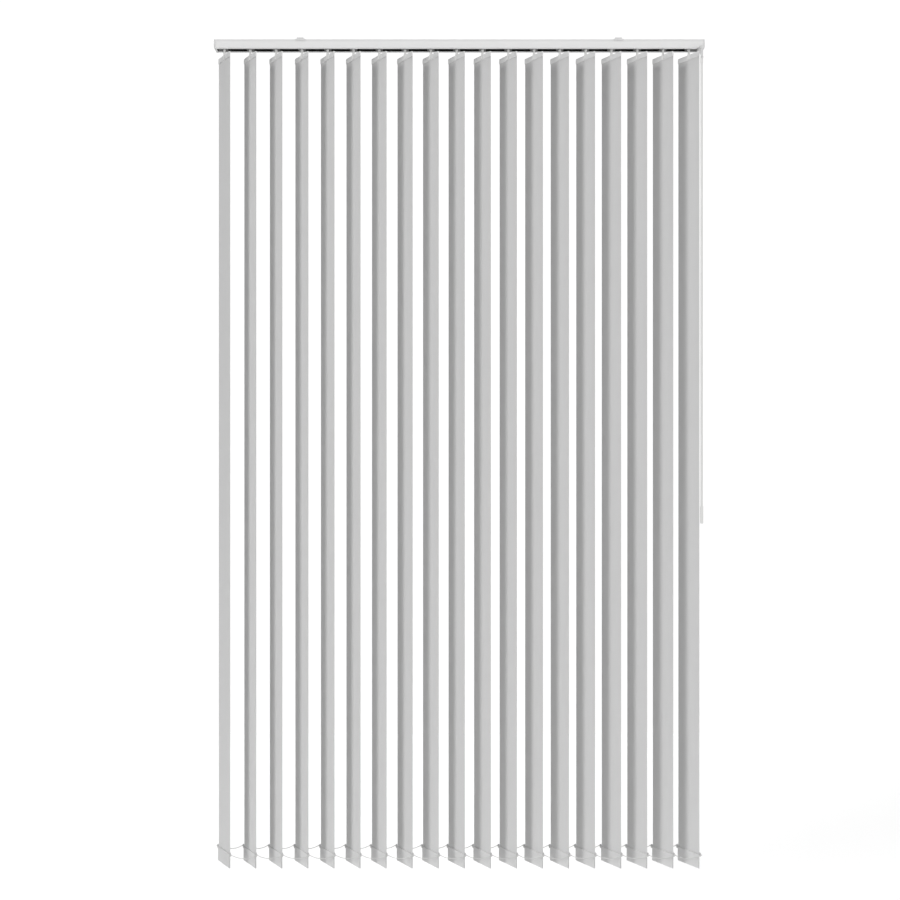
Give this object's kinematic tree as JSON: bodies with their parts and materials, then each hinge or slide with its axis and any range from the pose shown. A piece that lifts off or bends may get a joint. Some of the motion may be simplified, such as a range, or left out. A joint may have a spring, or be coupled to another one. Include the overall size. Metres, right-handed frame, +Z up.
{
  "type": "vertical blind",
  "caption": "Ceiling-mounted vertical blind: slotted headrail, hanging fabric vanes with weighted hems joined by bead chains, and a wand that tilts and draws them.",
  "frame": {"origin": "midway between the two ceiling screw holes, on the ceiling plane", "axes": "+X along the headrail towards the wand, +Y towards the window, +Z up"},
  "size_m": [1.4845, 0.0952, 2.5],
  "materials": {
    "rail_paint": "satin",
    "cap_plastic": "matte",
    "clip_steel": "satin",
    "weight_plastic": "matte",
    "rod_aluminium": "satin",
    "carrier_plastic": "matte",
    "vane_fabric": "matte",
    "chain_plastic": "gloss",
    "wand_plastic": "gloss"
  },
  "bodies": {
    "rail": {"headrail": "rail_paint", "left_end_cap": "cap_plastic", "right_end_cap": "cap_plastic", "ceiling_clip_left": "clip_steel", "ceiling_clip_right": "clip_steel", "carrier_01": "carrier_plastic"},
    "tilt_rod": {"tilt_rod": "rod_aluminium"},
    "carrier_02": {"carrier_02": "carrier_plastic"},
    "carrier_03": {"carrier_03": "carrier_plastic"},
    "carrier_04": {"carrier_04": "carrier_plastic"},
    "carrier_05": {"carrier_05": "carrier_plastic"},
    "carrier_06": {"carrier_06": "carrier_plastic"},
    "carrier_07": {"carrier_07": "carrier_plastic"},
    "carrier_08": {"carrier_08": "carrier_plastic"},
    "carrier_09": {"carrier_09": "carrier_plastic"},
    "carrier_10": {"carrier_10": "carrier_plastic"},
    "carrier_11": {"carrier_11": "carrier_plastic"},
    "carrier_12": {"carrier_12": "carrier_plastic"},
    "carrier_13": {"carrier_13": "carrier_plastic"},
    "carrier_14": {"carrier_14": "carrier_plastic"},
    "carrier_15": {"carrier_15": "carrier_plastic"},
    "carrier_16": {"carrier_16": "carrier_plastic"},
    "carrier_17": {"carrier_17": "carrier_plastic"},
    "carrier_18": {"carrier_18": "carrier_plastic"},
    "carrier_19": {"carrier_19": "carrier_plastic", "wand_arm": "cap_plastic", "drive_core": "clip_steel"},
    "vane_01": {"vane_01": "vane_fabric"},
    "vane_02": {"vane_02": "vane_fabric"},
    "vane_03": {"vane_03": "vane_fabric"},
    "vane_04": {"vane_04": "vane_fabric"},
    "vane_05": {"vane_05": "vane_fabric"},
    "vane_06": {"vane_06": "vane_fabric"},
    "vane_07": {"vane_07": "vane_fabric"},
    "vane_08": {"vane_08": "vane_fabric"},
    "vane_09": {"vane_09": "vane_fabric"},
    "vane_10": {"vane_10": "vane_fabric"},
    "vane_11": {"vane_11": "vane_fabric"},
    "vane_12": {"vane_12": "vane_fabric"},
    "vane_13": {"vane_13": "vane_fabric"},
    "vane_14": {"vane_14": "vane_fabric"},
    "vane_15": {"vane_15": "vane_fabric"},
    "vane_16": {"vane_16": "vane_fabric"},
    "vane_17": {"vane_17": "vane_fabric"},
    "vane_18": {"vane_18": "vane_fabric"},
    "vane_19": {"vane_19": "vane_fabric"},
    "front_chain": {"front_chain": "chain_plastic"},
    "back_chain": {"back_chain": "chain_plastic"},
    "wand_stem": {"wand_stem": "cap_plastic"},
    "wand_cross": {"wand_cross": "cap_plastic"},
    "wand_collar": {"wand_collar": "cap_plastic"},
    "wand": {"wand": "wand_plastic", "wand_grip": "wand_plastic"}
  },
  "joints": [
    {"name": "tilt_01", "type": "hinge", "parent": "rail", "child": "vane_01", "pos_m": [-0.71169, 0, -0.0145], "axis": [0, 0, 1], "range_deg": [-111, 45]},
    {"name": "draw_02", "type": "slide", "parent": "rail", "child": "carrier_02", "axis": [1, 0, 0], "range_m": [-0.0562, 0]},
    {"name": "tilt_02", "type": "hinge", "parent": "carrier_02", "child": "vane_02", "pos_m": [-0.63349, 0, -0.0145], "axis": [0, 0, 1], "range_deg": [-111, 45]},
    {"name": "draw_03", "type": "slide", "parent": "rail", "child": "carrier_03", "axis": [1, 0, 0], "range_m": [-0.1124, 0]},
    {"name": "tilt_03", "type": "hinge", "parent": "carrier_03", "child": "vane_03", "pos_m": [-0.55529, 0, -0.0145], "axis": [0, 0, 1], "range_deg": [-111, 45]},
    {"name": "draw_04", "type": "slide", "parent": "rail", "child": "carrier_04", "axis": [1, 0, 0], "range_m": [-0.1686, 0]},
    {"name": "tilt_04", "type": "hinge", "parent": "carrier_04", "child": "vane_04", "pos_m": [-0.47709, 0, -0.0145], "axis": [0, 0, 1], "range_deg": [-111, 45]},
    {"name": "draw_05", "type": "slide", "parent": "rail", "child": "carrier_05", "axis": [1, 0, 0], "range_m": [-0.2248, 0]},
    {"name": "tilt_05", "type": "hinge", "parent": "carrier_05", "child": "vane_05", "pos_m": [-0.39889, 0, -0.0145], "axis": [0, 0, 1], "range_deg": [-111, 45]},
    {"name": "draw_06", "type": "slide", "parent": "rail", "child": "carrier_06", "axis": [1, 0, 0], "range_m": [-0.281, 0]},
    {"name": "tilt_06", "type": "hinge", "parent": "carrier_06", "child": "vane_06", "pos_m": [-0.32069, 0, -0.0145], "axis": [0, 0, 1], "range_deg": [-111, 45]},
    {"name": "draw_07", "type": "slide", "parent": "rail", "child": "carrier_07", "axis": [1, 0, 0], "range_m": [-0.3372, 0]},
    {"name": "tilt_07", "type": "hinge", "parent": "carrier_07", "child": "vane_07", "pos_m": [-0.24249, 0, -0.0145], "axis": [0, 0, 1], "range_deg": [-111, 45]},
    {"name": "draw_08", "type": "slide", "parent": "rail", "child": "carrier_08", "axis": [1, 0, 0], "range_m": [-0.3934, 0]},
    {"name": "tilt_08", "type": "hinge", "parent": "carrier_08", "child": "vane_08", "pos_m": [-0.16429, 0, -0.0145], "axis": [0, 0, 1], "range_deg": [-111, 45]},
    {"name": "draw_09", "type": "slide", "parent": "rail", "child": "carrier_09", "axis": [1, 0, 0], "range_m": [-0.4496, 0]},
    {"name": "tilt_09", "type": "hinge", "parent": "carrier_09", "child": "vane_09", "pos_m": [-0.08609, 0, -0.0145], "axis": [0, 0, 1], "range_deg": [-111, 45]},
    {"name": "draw_10", "type": "slide", "parent": "rail", "child": "carrier_10", "axis": [1, 0, 0], "range_m": [-0.5058, 0]},
    {"name": "tilt_10", "type": "hinge", "parent": "carrier_10", "child": "vane_10", "pos_m": [-0.00789, 0, -0.0145], "axis": [0, 0, 1], "range_deg": [-111, 45]},
    {"name": "draw_11", "type": "slide", "parent": "rail", "child": "carrier_11", "axis": [1, 0, 0], "range_m": [-0.562, 0]},
    {"name": "tilt_11", "type": "hinge", "parent": "carrier_11", "child": "vane_11", "pos_m": [0.07031, 0, -0.0145], "axis": [0, 0, 1], "range_deg": [-111, 45]},
    {"name": "draw_12", "type": "slide", "parent": "rail", "child": "carrier_12", "axis": [1, 0, 0], "range_m": [-0.6182, 0]},
    {"name": "tilt_12", "type": "hinge", "parent": "carrier_12", "child": "vane_12", "pos_m": [0.14851, 0, -0.0145], "axis": [0, 0, 1], "range_deg": [-111, 45]},
    {"name": "draw_13", "type": "slide", "parent": "rail", "child": "carrier_13", "axis": [1, 0, 0], "range_m": [-0.6744, 0]},
    {"name": "tilt_13", "type": "hinge", "parent": "carrier_13", "child": "vane_13", "pos_m": [0.22671, 0, -0.0145], "axis": [0, 0, 1], "range_deg": [-111, 45]},
    {"name": "draw_14", "type": "slide", "parent": "rail", "child": "carrier_14", "axis": [1, 0, 0], "range_m": [-0.7306, 0]},
    {"name": "tilt_14", "type": "hinge", "parent": "carrier_14", "child": "vane_14", "pos_m": [0.30491, 0, -0.0145], "axis": [0, 0, 1], "range_deg": [-111, 45]},
    {"name": "draw_15", "type": "slide", "parent": "rail", "child": "carrier_15", "axis": [1, 0, 0], "range_m": [-0.7868, 0]},
    {"name": "tilt_15", "type": "hinge", "parent": "carrier_15", "child": "vane_15", "pos_m": [0.38311, 0, -0.0145], "axis": [0, 0, 1], "range_deg": [-111, 45]},
    {"name": "draw_16", "type": "slide", "parent": "rail", "child": "carrier_16", "axis": [1, 0, 0], "range_m": [-0.843, 0]},
    {"name": "tilt_16", "type": "hinge", "parent": "carrier_16", "child": "vane_16", "pos_m": [0.46131, 0, -0.0145], "axis": [0, 0, 1], "range_deg": [-111, 45]},
    {"name": "draw_17", "type": "slide", "parent": "rail", "child": "carrier_17", "axis": [1, 0, 0], "range_m": [-0.8992, 0]},
    {"name": "tilt_17", "type": "hinge", "parent": "carrier_17", "child": "vane_17", "pos_m": [0.53951, 0, -0.0145], "axis": [0, 0, 1], "range_deg": [-111, 45]},
    {"name": "draw_18", "type": "slide", "parent": "rail", "child": "carrier_18", "axis": [1, 0, 0], "range_m": [-0.9554, 0]},
    {"name": "tilt_18", "type": "hinge", "parent": "carrier_18", "child": "vane_18", "pos_m": [0.61771, 0, -0.0145], "axis": [0, 0, 1], "range_deg": [-111, 45]},
    {"name": "draw_19", "type": "slide", "parent": "rail", "child": "carrier_19", "axis": [1, 0, 0], "range_m": [-1.0116, 0], "deforming": ["front_chain", "back_chain"]},
    {"name": "tilt_19", "type": "hinge", "parent": "carrier_19", "child": "vane_19", "pos_m": [0.69591, 0, -0.0145], "axis": [0, 0, 1], "range_deg": [-111, 45]},
    {"name": "rod_turn", "type": "hinge", "parent": "rail", "child": "tilt_rod", "pos_m": [0, 0.0095, -0.0145], "axis": [1, 0, 0], "range_deg": [-444, 180]},
    {"name": "front_chain_turn", "type": "hinge", "parent": "vane_01", "child": "front_chain", "pos_m": [-0.68319, -0.04646, -2.457], "axis": [0, 0, 1], "range_deg": [-45, 111]},
    {"name": "back_chain_turn", "type": "hinge", "parent": "vane_01", "child": "back_chain", "pos_m": [-0.74253, 0.04493, -2.457], "axis": [0, 0, 1], "range_deg": [-45, 111]},
    {"name": "wand_stem_turn", "type": "hinge", "parent": "carrier_19", "child": "wand_stem", "pos_m": [0.72679, 0, -0.0145], "axis": [0, 0, 1], "range_deg": [-444, 180]},
    {"name": "wand_swing_side", "type": "hinge", "parent": "carrier_19", "child": "wand_cross", "pos_m": [0.72679, -0.04009, -0.065], "axis": [0, -1, 0], "range_deg": [0, 25]},
    {"name": "wand_swing_front", "type": "hinge", "parent": "wand_cross", "child": "wand_collar", "pos_m": [0.72679, -0.04009, -0.065], "axis": [-1, 0, 0], "range_deg": [0, 35]},
    {"name": "wand_turn", "type": "hinge", "parent": "wand_collar", "child": "wand", "pos_m": [0.72679, -0.04009, -0.065], "axis": [0, 0, 1], "range_deg": [-444, 180]}
  ],
  "couplings": [
    {"joint": "draw_02", "follows": "draw_19", "ratio": 0.055556},
    {"joint": "tilt_02", "follows": "tilt_01", "ratio": 1},
    {"joint": "draw_03", "follows": "draw_19", "ratio": 0.11111},
    {"joint": "tilt_03", "follows": "tilt_01", "ratio": 1},
    {"joint": "draw_04", "follows": "draw_19", "ratio": 0.16667},
    {"joint": "tilt_04", "follows": "tilt_01", "ratio": 1},
    {"joint": "draw_05", "follows": "draw_19", "ratio": 0.22222},
    {"joint": "tilt_05", "follows": "tilt_01", "ratio": 1},
    {"joint": "draw_06", "follows": "draw_19", "ratio": 0.27778},
    {"joint": "tilt_06", "follows": "tilt_01", "ratio": 1},
    {"joint": "draw_07", "follows": "draw_19", "ratio": 0.33333},
    {"joint": "tilt_07", "follows": "tilt_01", "ratio": 1},
    {"joint": "draw_08", "follows": "draw_19", "ratio": 0.38889},
    {"joint": "tilt_08", "follows": "tilt_01", "ratio": 1},
    {"joint": "draw_09", "follows": "draw_19", "ratio": 0.44444},
    {"joint": "tilt_09", "follows": "tilt_01", "ratio": 1},
    {"joint": "draw_10", "follows": "draw_19", "ratio": 0.5},
    {"joint": "tilt_10", "follows": "tilt_01", "ratio": 1},
    {"joint": "draw_11", "follows": "draw_19", "ratio": 0.55556},
    {"joint": "tilt_11", "follows": "tilt_01", "ratio": 1},
    {"joint": "draw_12", "follows": "draw_19", "ratio": 0.61111},
    {"joint": "tilt_12", "follows": "tilt_01", "ratio": 1},
    {"joint": "draw_13", "follows": "draw_19", "ratio": 0.66667},
    {"joint": "tilt_13", "follows": "tilt_01", "ratio": 1},
    {"joint": "draw_14", "follows": "draw_19", "ratio": 0.72222},
    {"joint": "tilt_14", "follows": "tilt_01", "ratio": 1},
    {"joint": "draw_15", "follows": "draw_19", "ratio": 0.77778},
    {"joint": "tilt_15", "follows": "tilt_01", "ratio": 1},
    {"joint": "draw_16", "follows": "draw_19", "ratio": 0.83333},
    {"joint": "tilt_16", "follows": "tilt_01", "ratio": 1},
    {"joint": "draw_17", "follows": "draw_19", "ratio": 0.88889},
    {"joint": "tilt_17", "follows": "tilt_01", "ratio": 1},
    {"joint": "draw_18", "follows": "draw_19", "ratio": 0.94444},
    {"joint": "tilt_18", "follows": "tilt_01", "ratio": 1},
    {"joint": "tilt_19", "follows": "tilt_01", "ratio": 1},
    {"joint": "rod_turn", "follows": "tilt_01", "ratio": 4},
    {"joint": "front_chain_turn", "follows": "tilt_01", "ratio": -1},
    {"joint": "back_chain_turn", "follows": "tilt_01", "ratio": -1},
    {"joint": "wand_stem_turn", "follows": "tilt_01", "ratio": 4},
    {"joint": "wand_turn", "follows": "tilt_01", "ratio": 4}
  ]
}
